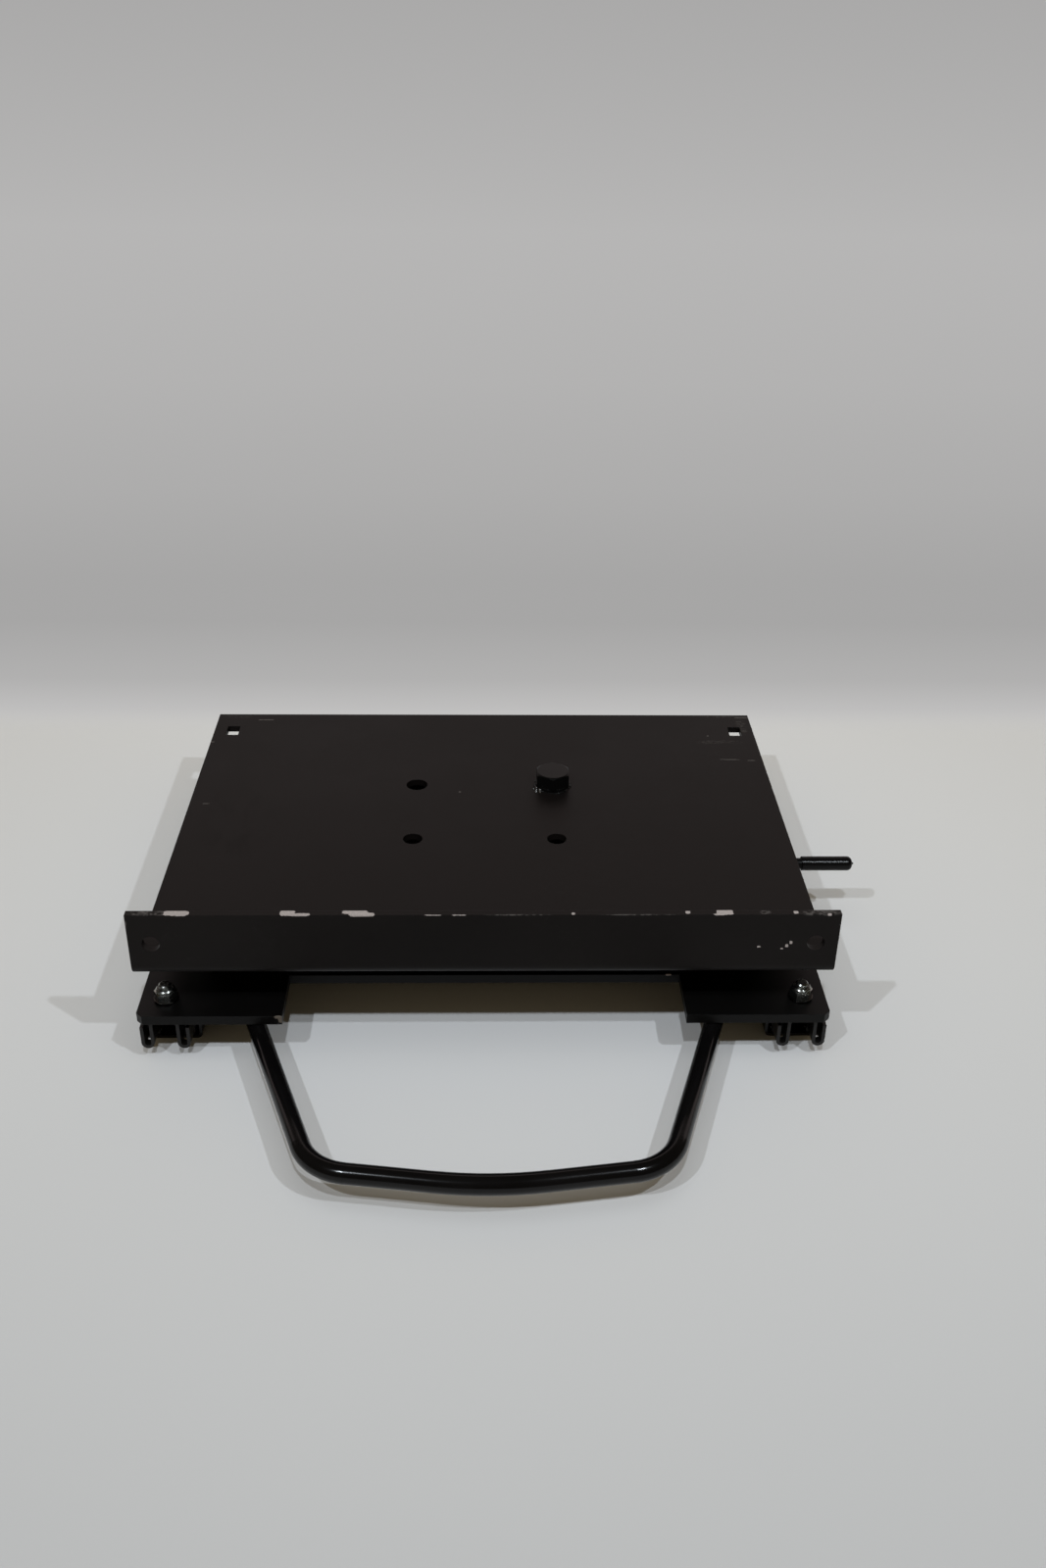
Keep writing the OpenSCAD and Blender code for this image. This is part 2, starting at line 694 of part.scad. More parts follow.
// Two lugs under the lower plate that hold a handle pin
module handle_lugs() {
    color(black_paint) translate([pivot_arm_x, handle_pivot_y, 0]) for (side = [0, 1])
        mirror([side, 0, 0]) translate([lug_half, 0, bar_z]) rotate([90, 0, 90]) linear_extrude(ear_t)
            difference() {
                union() {
                    circle(lug_r);
                    translate([-lug_r, 0]) square([2 * lug_r, lower_bottom - bar_z]);
                }
                circle(d = handle_pin_d);
            }
}

module handle_pins() {
    reach = lug_half + ear_t;
    color(zinc) for (side = [-1, 1]) translate([side * pivot_arm_x, handle_pivot_y, bar_z])
        rotate([0, 90, 0]) {
            translate([0, 0, -reach - 1]) cylinder(d = handle_pin_d, h = 2 * reach + 2);
            for (end = [0, 1]) mirror([0, 0, end]) translate([0, 0, reach]) cylinder(d = handle_pin_d + 3, h = 1.6);
        }
}

// Latch: a rocking plate whose teeth enter the floor rail's windows, drawn turned out of them
module latch() {
    color(yellow_zinc) translate([latch_pin_x, 0, latch_pin_z]) rotate([0, -latch_turn, 0])
        translate([-latch_pin_x, 0, -latch_pin_z]) latch_plate();
}

module latch_plate() {
    knuckle_r = latch_pin_d / 2 + 2.5;
    ear_x = latch_edge_x - latch_web;
    difference() {
        union() {
            translate([ear_x, latch_y - latch_len / 2, latch_bottom]) cube([latch_edge_x - ear_x, latch_len, latch_t]);
            translate([arm_rear_x - 6, finger_back_y - finger_l, latch_bottom])
                cube([ear_x - arm_rear_x + 8, finger_l, latch_t]);
            translate([latch_pin_x + latch_lug[0] - 5, latch_y + latch_lug[1] - 5, latch_bottom])
                cube([ear_x - latch_pin_x - latch_lug[0] + 7, 10, latch_t]);
            for (i = [-1:1]) translate([latch_edge_x - 1, latch_y + i * latch_pitch - tooth_w / 2, latch_bottom])
                cube([tooth_tip_x - latch_edge_x + 1, tooth_w, latch_t]);
            for (end = [-1, 1]) translate([0, latch_y + end * (latch_len - ear_t) / 2, 0]) {
                translate([latch_pin_x, 0, latch_pin_z]) rotate([90, 0, 0])
                    cylinder(r = knuckle_r, h = ear_t, center = true);
                translate([latch_pin_x - knuckle_r, -ear_t / 2, latch_pin_z])
                    cube([2 * knuckle_r, ear_t, latch_top - latch_pin_z]);
            }
        }
        translate([latch_pin_x, latch_y, latch_pin_z]) rotate([90, 0, 0])
            cylinder(d = latch_pin_d + 2 * pin_play, h = latch_len + 10, center = true);
    }
}

bracket_half = latch_len / 2 + latch_end_gap;

// Folded bracket that hangs a latch under the lower plate
module latch_bracket() {
    ear_r = latch_pin_d / 2 + 1.8;
    flange_x = latch_pin_x - latch_pin_in;
    flange_w = latch_pin_in * 1.7;
    color(black_paint) {
        translate([flange_x, latch_y - bracket_half, lower_bottom - ear_t])
            cube([flange_w, 2 * bracket_half, ear_t]);
        for (end = [0, 1]) translate([0, latch_y, 0]) mirror([0, end, 0])
            translate([0, bracket_half + ear_t, 0]) rotate([90, 0, 0]) linear_extrude(ear_t) difference() {
                union() {
                    translate([latch_pin_x, latch_pin_z]) circle(ear_r);
                    polygon([[latch_pin_x - ear_r, latch_pin_z], [latch_pin_x + ear_r, latch_pin_z],
                        [flange_x + flange_w, latch_top + 2], [flange_x + flange_w, lower_bottom], [flange_x, lower_bottom],
                        [flange_x, latch_top + 2]]);
                }
                translate([latch_pin_x, latch_pin_z]) circle(d = latch_pin_d);
            }
    }
}

module latch_pins() {
    reach = bracket_half + ear_t;
    color(zinc) for (side = [-1, 1]) translate([side * latch_pin_x, latch_y, latch_pin_z]) rotate([90, 0, 0]) {
        cylinder(d = latch_pin_d, h = 2 * reach + 2, center = true);
        for (end = [0, 1]) mirror([0, 0, end]) translate([0, 0, reach]) cylinder(d = latch_pin_d + 2, h = 1.2);
    }
}

// Spring that pulls the latch's lug up, so that its teeth drop into the windows
module latch_spring() {
    arm_x = latch_lug[0];
    arm_z = latch_top - latch_pin_z;
    foot_x = latch_pin_x + arm_x * cos(latch_turn) - arm_z * sin(latch_turn);
    foot_z = latch_pin_z + arm_x * sin(latch_turn) + arm_z * cos(latch_turn) + 1.2;
    color(zinc) translate([foot_x, latch_y + latch_lug[1], foot_z])
        coil(6, 0.9, lower_bottom - foot_z, 8);
}

// Swivel lever
module link_shape(from, to, w) {
    translate(from) rotate(atan2(to[1] - from[1], to[0] - from[0])) translate([0, -w / 2])
        square([norm(to - from), w]);
}

module lever_crank() {
    foot_y = rod_y - rod_d / 2 - 3;
    color(yellow_zinc) translate([0, 0, crank_bottom]) linear_extrude(crank_t) difference() {
        union() {
            translate(lever_pos) circle(crank_w);
            translate(catch_pos) circle(catch_d / 2 + 3.5);
            link_shape(lever_pos, catch_pos, crank_w);
            translate([leg_x - leg_w / 2, foot_y]) square([leg_w, lever_pos[1] - foot_y]);
        }
        translate(lever_pos) circle(d = bush_d + 2 * pin_play);
        translate(catch_pos) circle(d = catch_d - 3);
        translate([leg_x - leg_w / 2 + 4, spring_y]) circle(d = 3.6);
        translate([leg_x, rod_y - rod_d / 2]) square([leg_w, rod_d]);
    }
}

module catch_pin() {
    color(zinc) translate([catch_pos[0], catch_pos[1], 0]) {
        translate([0, 0, crank_top]) cylinder(d = catch_d, h = plate_bottom - crank_top - 0.8);
        translate([0, 0, crank_bottom]) cylinder(d = catch_d - 3, h = crank_t);
    }
}

module lever_rod() {
    rod_start = leg_x + 0.5;
    color(black_paint) translate([rod_start, rod_y, rod_z]) rotate([0, 90, 0])
        cylinder(d = rod_d, h = grip_tip_x - 4 - rod_start);
}

module lever_grip() {
    dome_r = 3.6;
    body = grip_l - 1.2;
    color(black_gloss) translate([grip_tip_x - grip_l, rod_y, rod_z]) rotate([0, 90, 0]) difference() {
        union() {
            cylinder(d = grip_d, h = body - dome_r);
            rotate_extrude() {
                translate([0, body - dome_r - 1]) square([grip_d / 2 - dome_r, dome_r + 1]);
                translate([grip_d / 2 - dome_r, body - dome_r]) intersection() {
                    circle(dome_r);
                    square(dome_r);
                }
            }
            translate([0, 0, body - 0.2]) cylinder(d1 = 2.4, d2 = 1.2, h = 1.4);
        }
        translate([0, 0, -1]) cylinder(d = rod_d, h = grip_l - 4 + 1);
    }
}

module lever_bush() {
    collar_h = crank_bottom - 0.3 - lower_top;
    color(zinc) translate([lever_pos[0], lever_pos[1], lower_top]) difference() {
        union() {
            cylinder(d = bush_d + 8, h = collar_h);
            cylinder(d = bush_d, h = collar_h + crank_t + 0.6);
        }
        translate([0, 0, -1]) cylinder(d = bolt_d, h = plate_gap);
    }
}

lever_washer_z = crank_top + 0.3;

module lever_washer() {
    color(zinc) translate([lever_pos[0], lever_pos[1], lever_washer_z]) washer(bush_d + 6, bolt_d, 1.4);
}

module lever_nut() {
    color(zinc) translate([lever_pos[0], lever_pos[1], lever_washer_z + 1.4]) lock_nut(bolt_af, nut_h, bolt_d);
}

module lever_bolt() {
    top = lever_washer_z + 1.4 + nut_h + 1;
    color(zinc) translate([lever_pos[0], lever_pos[1], 0]) {
        translate([0, 0, lower_bottom]) mirror([0, 0, 1]) hex_head(bolt_af, bolt_head_h);
        translate([0, 0, lower_bottom]) cylinder(d = bolt_d, h = top - lower_bottom);
    }
}

module spring_post() {
    color(zinc) translate([spring_post_x, spring_y, lower_top]) {
        cylinder(d = 6, h = rod_z - lower_top - 1.6);
        cylinder(d = 4, h = rod_z - lower_top + 1.6);
        translate([0, 0, rod_z - lower_top + 1.6]) cylinder(d = 6, h = 1.5);
    }
}

// Extension spring from the post to the crank's ear
module lever_spring() {
    start_x = spring_post_x + 3.4;
    end_x = leg_x - leg_w / 2 - 0.4;
    color(zinc) translate([start_x, spring_y, rod_z]) rotate([0, 90, 0]) coil(7, 1.1, end_x - start_x, 14);
}

module left_side() {
    mirror([1, 0, 0]) children();
}

left_side() floor_rail();  // floor_rail_left
floor_rail();  // floor_rail_right
left_side() slide_rail();  // slide_rail_left
slide_rail();  // slide_rail_right
left_side() glides();  // glides_left
glides();  // glides_right
lower_plate();
bearer(front_bearer_back);  // front_bearer
bearer(rear_bearer_back);  // rear_bearer
glide_strip(front_bearer_back);  // front_glide_strip
glide_strip(rear_bearer_back);  // rear_glide_strip
pivot_boss();
thrust_washer();
rail_bolts();
rail_washers();
rail_nuts();
handle_bar();
left_side() handle_lugs();  // handle_lugs_left
handle_lugs();  // handle_lugs_right
handle_pins();
left_side() latch();  // latch_left
latch();  // latch_right
left_side() latch_bracket();  // latch_bracket_left
latch_bracket();  // latch_bracket_right
latch_pins();
left_side() latch_spring();  // latch_spring_left
latch_spring();  // latch_spring_right
lever_crank();
catch_pin();
lever_rod();
lever_grip();
lever_bush();
lever_bolt();
lever_washer();
lever_nut();
lever_spring();
spring_post();
top_plate();
catch_keepers();
pivot_bolt();
pivot_washer();
pivot_nut();
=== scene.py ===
import json
import math
import random
import bpy
from mathutils import Matrix, Vector


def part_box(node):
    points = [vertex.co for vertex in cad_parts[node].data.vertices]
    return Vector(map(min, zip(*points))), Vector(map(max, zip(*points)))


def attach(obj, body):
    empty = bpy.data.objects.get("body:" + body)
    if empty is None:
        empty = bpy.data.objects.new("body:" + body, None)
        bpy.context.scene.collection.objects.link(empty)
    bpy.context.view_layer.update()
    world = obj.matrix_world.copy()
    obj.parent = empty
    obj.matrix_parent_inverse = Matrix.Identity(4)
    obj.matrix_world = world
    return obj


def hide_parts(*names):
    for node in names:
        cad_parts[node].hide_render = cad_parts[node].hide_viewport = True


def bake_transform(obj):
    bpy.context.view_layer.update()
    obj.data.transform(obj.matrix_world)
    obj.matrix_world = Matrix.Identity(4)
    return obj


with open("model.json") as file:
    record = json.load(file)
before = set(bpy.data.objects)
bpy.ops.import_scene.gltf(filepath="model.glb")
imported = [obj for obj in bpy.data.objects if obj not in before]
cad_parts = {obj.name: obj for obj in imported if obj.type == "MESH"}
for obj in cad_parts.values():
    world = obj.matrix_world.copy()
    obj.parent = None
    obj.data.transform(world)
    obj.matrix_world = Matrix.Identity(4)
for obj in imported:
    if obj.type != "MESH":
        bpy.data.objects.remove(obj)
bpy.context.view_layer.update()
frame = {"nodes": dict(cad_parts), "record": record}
nodes = frame["nodes"]
mm = 0.001
plateTop = 0.073                 # the top plate's upper face
pivotXY = (0.0515, 0.0225)


# Nodes of one material, with short names for what the finishes below need
class Shader:

    def __init__(self, name):
        self.material = bpy.data.materials.new(name)
        self.material.use_nodes = True
        self.tree = self.material.node_tree
        self.tree.nodes.clear()
        self.out = self.node("ShaderNodeOutputMaterial")
        self.surface = self.node("ShaderNodeBsdfPrincipled")
        self.link(self.surface.outputs[0], self.out.inputs["Surface"])
        self.coords = self.node("ShaderNodeTexCoord").outputs["Object"]

    def node(self, kind, **settings):
        made = self.tree.nodes.new(kind)
        for key, value in settings.items():
            setattr(made, key, value)
        return made

    def link(self, a, b):
        self.tree.links.new(a, b)

    def put(self, socket, value):
        if isinstance(value, bpy.types.NodeSocket):
            self.link(value, socket)
        else:
            socket.default_value = value

    def noise(self, scale, detail=3.0, rough=0.5, stretch=None, offset=0.0):
        where = self.coords
        if stretch or offset:
            turn = self.node("ShaderNodeMapping")
            self.link(where, turn.inputs["Vector"])
            turn.inputs["Scale"].default_value = stretch or (1, 1, 1)
            turn.inputs["Location"].default_value = (offset, offset * 0.7, offset * 1.3)
            where = turn.outputs[0]
        made = self.node("ShaderNodeTexNoise")
        self.link(where, made.inputs["Vector"])
        made.inputs["Scale"].default_value = scale
        made.inputs["Detail"].default_value = detail
        made.inputs["Roughness"].default_value = rough
        return made.outputs["Fac"]

    def ramp(self, value, low, high, smooth=True):
        made = self.node("ShaderNodeMapRange")
        made.interpolation_type = "SMOOTHSTEP" if smooth else "LINEAR"
        self.put(made.inputs["Value"], value)
        made.inputs["From Min"].default_value = low
        made.inputs["From Max"].default_value = high
        return made.outputs["Result"]

    def math(self, operation, a, b=0.0, clamp=False):
        made = self.node("ShaderNodeMath", operation=operation, use_clamp=clamp)
        self.put(made.inputs[0], a)
        self.put(made.inputs[1], b)
        return made.outputs[0]

    def blend(self, factor, a, b):
        made = self.node("ShaderNodeMix", data_type="RGBA")
        self.put(made.inputs[0], factor)
        self.put(made.inputs[6], a)
        self.put(made.inputs[7], b)
        return made.outputs[2]

    def blendValue(self, factor, a, b):
        made = self.node("ShaderNodeMix", data_type="FLOAT")
        self.put(made.inputs[0], factor)
        self.put(made.inputs[2], a)
        self.put(made.inputs[3], b)
        return made.outputs[0]

    def axes(self):
        made = self.node("ShaderNodeSeparateXYZ")
        self.link(self.coords, made.inputs[0])
        return made.outputs

    def steps(self, value, stops):
        made = self.node("ShaderNodeValToRGB")
        self.put(made.inputs[0], value)
        points = made.color_ramp.elements
        points[0].position, points[1].position = stops[0][0], stops[-1][0]
        for place, _ in stops[1:-1]:
            points.new(place)
        for point, (_, tone) in zip(points, stops):
            point.color = (tone[0], tone[1], tone[2], 1.0)
        return made.outputs[0]

    # 0 at the centre of an ellipsoid, 1 on its skin
    def far(self, centre, size):
        shift = self.node("ShaderNodeVectorMath", operation="SUBTRACT")
        self.link(self.coords, shift.inputs[0])
        shift.inputs[1].default_value = centre
        scale = self.node("ShaderNodeVectorMath", operation="DIVIDE")
        self.link(shift.outputs[0], scale.inputs[0])
        scale.inputs[1].default_value = size
        length = self.node("ShaderNodeVectorMath", operation="LENGTH")
        self.link(scale.outputs[0], length.inputs[0])
        return length.outputs["Value"]

    # 1 inside a ragged patch with round corners, 0 outside; centre and half sizes in mm
    def chip(self, centre, half, ragged, roughness=0.5):
        reach = None
        for axis, middle, size in zip(self.axes(), centre, half):
            away = self.math("ABSOLUTE", self.math("SUBTRACT", axis, middle * mm))
            side = self.math("POWER", self.math("DIVIDE", away, size * mm), 4.0)
            reach = side if reach is None else self.math("ADD", reach, side)
        wobble = self.math("MULTIPLY", self.math("SUBTRACT", ragged, 0.5), roughness * 2.6)
        reach = self.math("ADD", self.math("POWER", reach, 0.25), wobble)
        return self.math("LESS_THAN", reach, 1.0)

    def bump(self, height, strength, distance, radius=0.0):
        made = self.node("ShaderNodeBump")
        made.inputs["Strength"].default_value = strength
        made.inputs["Distance"].default_value = distance
        self.link(height, made.inputs["Height"])
        if radius:
            edge = self.node("ShaderNodeBevel", samples=4)
            edge.inputs["Radius"].default_value = radius
            self.link(edge.outputs[0], made.inputs["Normal"])
        self.link(made.outputs[0], self.surface.inputs["Normal"])

    def finish(self, color, rough, metal=0.0, specular=0.5, coat=0.0):
        pins = self.surface.inputs
        self.put(pins["Base Color"], color)
        self.put(pins["Roughness"], rough)
        self.put(pins["Metallic"], metal)
        pins["Specular IOR Level"].default_value = specular
        pins["Coat Weight"].default_value = coat
        pins["Coat Roughness"].default_value = 0.1
        return self.material


def rgb(r, g, b):
    return (r, g, b, 1.0)


# Chips are centre and half size in mm, and how ragged their edges are
topPaint = {
    "dark": rgb(0.0044, 0.0034, 0.0031), "light": rgb(0.0066, 0.0052, 0.0047),
    "rough": (0.42, 0.5), "specular": 0.115,
    "primer": rgb(0.40, 0.34, 0.325), "bare": rgb(0.27, 0.255, 0.24), "scuffed": rgb(0.085, 0.078, 0.073),
    "edgeChips": [((-188.6, -207.4, 114.5), (7.6, 2.7, 0.7), 0.22), ((-121.0, -207.3, 114.5), (4.6, 2.8, 0.9), 0.25),
                  ((-113.5, -209.0, 114.5), (6.4, 1.2, 0.8), 0.3), ((-80.0, -206.6, 114.5), (8.0, 1.9, 0.6), 0.3),
                  ((-75.5, -208.8, 114.5), (8.0, 1.6, 1.2), 0.25), ((-31.0, -210.0, 114.5), (5.0, 0.35, 0.35), 0.9),
                  ((-16.0, -209.9, 114.5), (4.0, 0.3, 0.35), 0.9),
                  ((53.9, -208.6, 114.5), (1.1, 1.0, 0.5), 0.5), ((124.7, -207.4, 114.5), (1.5, 1.5, 0.5), 0.4),
                  ((147.7, -207.4, 114.5), (5.2, 2.6, 0.9), 0.22), ((191.7, -207.6, 114.5), (1.4, 1.4, 0.6), 0.4),
                  ((212.3, -209.6, 114.3), (1.2, 0.9, 0.8), 0.3), ((144.0, -209.6, 114.5), (3.6, 0.6, 0.5), 0.5)],
    "faceChips": [((170.6, -210.0, 90.2), (1.0, 1.0, 0.6), 0.8), ((185.0, -210.0, 88.8), (0.7, 1.0, 0.5), 0.8),
                  ((187.9, -210.0, 91.0), (0.9, 1.0, 1.0), 0.7), ((190.4, -210.0, 93.3), (0.9, 1.0, 1.1), 0.7)],
    "topMarks": [((-19.2, 11.7, 73.0), (0.8, 0.7, 0.5), 0.5), ((-180.0, 130.0, 73.0), (6.4, 0.6, 0.5), 0.9),
                 ((-218.6, 91.3, 73.0), (1.4, 0.8, 0.5), 0.6), ((-207.8, -6.0, 73.0), (2.4, 0.4, 0.5), 0.9),
                 ((193.3, 63.1, 73.0), (6.6, 0.4, 0.5), 0.9), ((210.6, 61.6, 73.0), (3.2, 0.4, 0.5), 0.9),
                 ((181.8, 102.9, 73.0), (0.8, 0.7, 0.5), 0.5), ((214.0, 135.4, 73.0), (5.2, 0.6, 0.5), 0.9)],
    "edgeScuffs": [((-209.5, -207.5, 114.5), (11.0, 3.4, 0.8)), ((-199.0, -207.5, 114.5), (5.0, 3.0, 0.8)),
                   ((172.8, -207.5, 114.5), (4.6, 2.6, 0.6)), ((207.0, -208.0, 114.5), (15.0, 4.0, 1.6)),
                   ((95.0, -210.0, 114.5), (28.0, 1.0, 0.6)), ((20.0, -210.0, 114.5), (24.0, 1.0, 0.6)),
                   ((-219.8, -209.0, 108.0), (1.0, 2.5, 9.0))],
    "cornerScuffs": [((-205.0, 136.0, 73.0), (16.0, 3.5, 3.0)), ((212.0, 120.0, 73.0), (6.0, 18.0, 3.0)),
                     ((196.0, 137.5, 73.0), (20.0, 2.5, 3.0)), ((190.0, 92.0, 73.0), (24.0, 5.0, 3.0)),
                     ((-90.0, 139.5, 73.0), (40.0, 1.5, 3.0))],
}


def scaled(values):
    return tuple(v * mm for v in values)


def paintTopPlate():
    s = Shader("paintTopPlate")
    look = topPaint
    grain = s.noise(1500.0, 2.0, 0.6)
    patch = s.noise(7.0, 4.0, 0.6)
    base = s.blend(s.ramp(patch, 0.35, 0.7), look["dark"], look["light"])
    ragged = s.noise(360.0, 5.0, 0.7)
    fine = s.noise(1300.0, 2.0, 0.6, offset=3.1)
    chipped = None
    for centre, half, raggedness in look["edgeChips"] + look["faceChips"]:
        hit = s.chip(centre, half, ragged, raggedness)
        chipped = hit if chipped is None else s.math("MAXIMUM", chipped, hit)
    marked = None
    for centre, half, raggedness in look["topMarks"]:
        hit = s.chip(centre, half, ragged, raggedness)
        marked = hit if marked is None else s.math("MAXIMUM", marked, hit)
    rubbed = None
    for centre, size in look["edgeScuffs"]:
        hit = s.math("SUBTRACT", 1.0, s.far(scaled(centre), scaled(size)), clamp=True)
        rubbed = hit if rubbed is None else s.math("MAXIMUM", rubbed, hit)
    rubbed = s.math("MULTIPLY", s.ramp(rubbed, 0.0, 0.5), s.ramp(s.noise(330.0, 4.0, 0.7, None, 1.7), 0.42, 0.6))
    scuff = None
    for centre, size in look["cornerScuffs"]:
        hit = s.math("SUBTRACT", 1.0, s.far(scaled(centre), scaled(size)), clamp=True)
        scuff = hit if scuff is None else s.math("MAXIMUM", scuff, hit)
    line = s.math("ABSOLUTE", s.math("SUBTRACT", s.noise(38.0, 5.0, 0.7, (1.0, 5.5, 1.0)), 0.5))
    scratched = s.math("MULTIPLY", s.math("LESS_THAN", line, 0.007), s.ramp(scuff, 0.1, 0.5))
    # Fine marks all over, in some places only
    hair = s.math("ABSOLUTE", s.math("SUBTRACT", s.noise(16.0, 6.0, 0.75, (1.0, 3.0, 1.0), 2.0), 0.5))
    places = s.ramp(s.noise(5.0, 2.0, 0.5, None, 7.0), 0.52, 0.62)
    hair = s.math("MULTIPLY", s.math("LESS_THAN", hair, 0.0016), places)
    color = s.blend(s.math("MULTIPLY", hair, 0.2), base, rgb(0.035, 0.031, 0.03))
    color = s.blend(s.math("MULTIPLY", scratched, 0.5), color, rgb(0.13, 0.12, 0.11))
    color = s.blend(s.math("MULTIPLY", rubbed, 0.85), color, look["scuffed"])
    color = s.blend(s.math("MULTIPLY", marked, 0.6), color, rgb(0.14, 0.13, 0.12))
    color = s.blend(chipped, color, s.blend(s.ramp(fine, 0.35, 0.65), look["primer"], look["bare"]))
    # Hand marks at the plate's left
    smudge = s.math("SUBTRACT", 1.0, s.far((-0.18, -0.030, plateTop), (0.032, 0.060, 0.01)), clamp=True)
    smudge = s.math("MULTIPLY", smudge, s.ramp(s.noise(42.0, 4.0, 0.6, (1.0, 0.5, 1.0)), 0.45, 0.7))
    rough = s.blendValue(s.ramp(patch, 0.3, 0.7), *look["rough"])
    rough = s.blendValue(s.math("MULTIPLY", smudge, 0.6), rough, 0.62)
    rough = s.blendValue(chipped, rough, 0.6)
    s.bump(s.math("SUBTRACT", s.math("MULTIPLY", grain, 0.3), chipped), 0.5, 0.00012, 0.0007)
    return s.finish(color, rough, 0.0, look["specular"])


framePaint = {"dark": rgb(0.0018, 0.0016, 0.0015), "light": rgb(0.0028, 0.0025, 0.0023),
              "rough": (0.38, 0.46), "specular": 0.15}
tabPaint = {**framePaint, "chips": [((121.8, -169.0, 37.5), (1.9, 0.7, 0.7), 0.4)],
            "rust": [((-130.5, -211.5, 36.6), (3.4, 0.8, 1.0), 0.5), ((-129.8, -211.5, 34.6), (1.9, 0.8, 2.0), 0.5)]}
railPaint = {"dark": rgb(0.004, 0.0035, 0.0033), "light": rgb(0.0062, 0.0055, 0.0052),
             "rough": (0.3, 0.4), "specular": 0.3}
boltPaint = {"dark": rgb(0.0022, 0.0021, 0.0020), "light": rgb(0.0034, 0.0032, 0.0031),
             "rough": (0.3, 0.38), "specular": 0.13}


def paintSteel(name, look, edge=0.0006, wear=0.0):
    s = Shader(name)
    grain = s.noise(1400.0, 2.0, 0.6)
    patch = s.noise(11.0, 4.0, 0.6)
    color = s.blend(s.ramp(patch, 0.35, 0.7), look["dark"], look["light"])
    if wear:
        rub = s.math("GREATER_THAN", s.noise(95.0, 5.0, 0.7, (1.0, 0.25, 1.0)), 0.78 - wear)
        color = s.blend(s.math("MULTIPLY", rub, 0.6), color, rgb(0.1, 0.09, 0.085))
    ragged = s.noise(520.0, 3.0, 0.6)
    for centre, half, raggedness in look.get("chips", []):
        color = s.blend(s.chip(centre, half, ragged, raggedness), color, topPaint["primer"])
    for centre, half, raggedness in look.get("rust", []):
        color = s.blend(s.chip(centre, half, ragged, raggedness), color, rgb(0.10, 0.085, 0.07))
    s.bump(s.math("MULTIPLY", grain, 0.3), 0.5, 0.00012, edge)
    return s.finish(color, s.blendValue(s.ramp(patch, 0.3, 0.7), *look["rough"]), 0.0, look["specular"])


def glossBar():
    s = Shader("glossBar")
    patch = s.noise(20.0, 3.0, 0.6)
    color = s.blend(s.ramp(patch, 0.35, 0.7), rgb(0.0022, 0.0020, 0.0021), rgb(0.0034, 0.0031, 0.0032))
    s.bump(s.noise(260.0, 3.0, 0.5), 0.1, 0.0002)
    return s.finish(color, s.blendValue(patch, 0.12, 0.2), 0.0, 0.27)


def gripVinyl():
    s = Shader("gripVinyl")
    dust = s.ramp(s.noise(520.0, 4.0, 0.6), 0.62, 0.72)
    color = s.blend(s.math("MULTIPLY", dust, 0.3), rgb(0.0034, 0.0032, 0.0032), rgb(0.014, 0.013, 0.012))
    s.bump(s.noise(170.0, 2.0, 0.4, (0.4, 1.0, 1.0)), 0.25, 0.0003)
    return s.finish(color, s.blendValue(dust, 0.24, 0.4), 0.0, 0.16)


def platedSteel(name, tint, dull, rough, edge=0.0003):
    s = Shader(name)
    cloud = s.noise(85.0, 5.0, 0.65)
    s.bump(s.noise(1200.0, 2.0, 0.5), 0.25, 0.00008, edge)
    color = s.blend(s.ramp(cloud, 0.4, 0.68), tint, dull)
    return s.finish(color, s.blendValue(s.ramp(cloud, 0.35, 0.7), *rough), 1.0)


def acetalStrip():
    s = Shader("acetalStrip")
    grease = s.ramp(s.noise(60.0, 4.0, 0.6), 0.5, 0.72)
    color = s.blend(s.math("MULTIPLY", grease, 0.5), rgb(0.66, 0.65, 0.6), rgb(0.42, 0.36, 0.22))
    s.bump(s.noise(700.0, 2.0, 0.5), 0.1, 0.0001, 0.0003)
    return s.finish(color, s.blendValue(grease, 0.45, 0.2))


looks = {
    "paintTopPlate": paintTopPlate(),
    "paintFrame": paintSteel("paintFrame", framePaint),
    "paintTabs": paintSteel("paintTabs", tabPaint),
    "paintRail": paintSteel("paintRail", railPaint, 0.0004, 0.04),
    "paintBolt": paintSteel("paintBolt", boltPaint, 0.0008),
    "glossBar": glossBar(),
    "gripVinyl": gripVinyl(),
    "zinc": platedSteel("zinc", rgb(0.50, 0.50, 0.47), rgb(0.36, 0.36, 0.34), (0.30, 0.46)),
    "nutZinc": platedSteel("nutZinc", rgb(0.36, 0.37, 0.345), rgb(0.16, 0.16, 0.15), (0.18, 0.36)),
    "darkZinc": platedSteel("darkZinc", rgb(0.06, 0.056, 0.052), rgb(0.035, 0.033, 0.03), (0.18, 0.34)),
    "yellowZinc": platedSteel("yellowZinc", rgb(0.52, 0.40, 0.16), rgb(0.38, 0.32, 0.2), (0.26, 0.42)),
    "springWire": platedSteel("springWire", rgb(0.34, 0.34, 0.35), rgb(0.22, 0.22, 0.22), (0.24, 0.36), 0.0),
    "weldSteel": platedSteel("weldSteel", rgb(0.34, 0.34, 0.33), rgb(0.03, 0.028, 0.026), (0.12, 0.4), 0.0),
    "acetal": acetalStrip(),
}
slotLooks = {"rail_paint": "paintRail", "plate_paint": "paintTopPlate", "frame_paint": "paintFrame",
             "handle_coat": "glossBar", "grip_vinyl": "gripVinyl", "acetal": "acetal",
             "zinc": "zinc", "yellow_zinc": "yellowZinc", "spring_steel": "springWire"}
nodeLooks = {"pivot_bolt": "paintBolt", "catch_keepers": "paintFrame", "rail_washers": "darkZinc",
             "lower_plate": "paintTabs", "rail_nuts": "nutZinc", "rail_bolts": "nutZinc"}
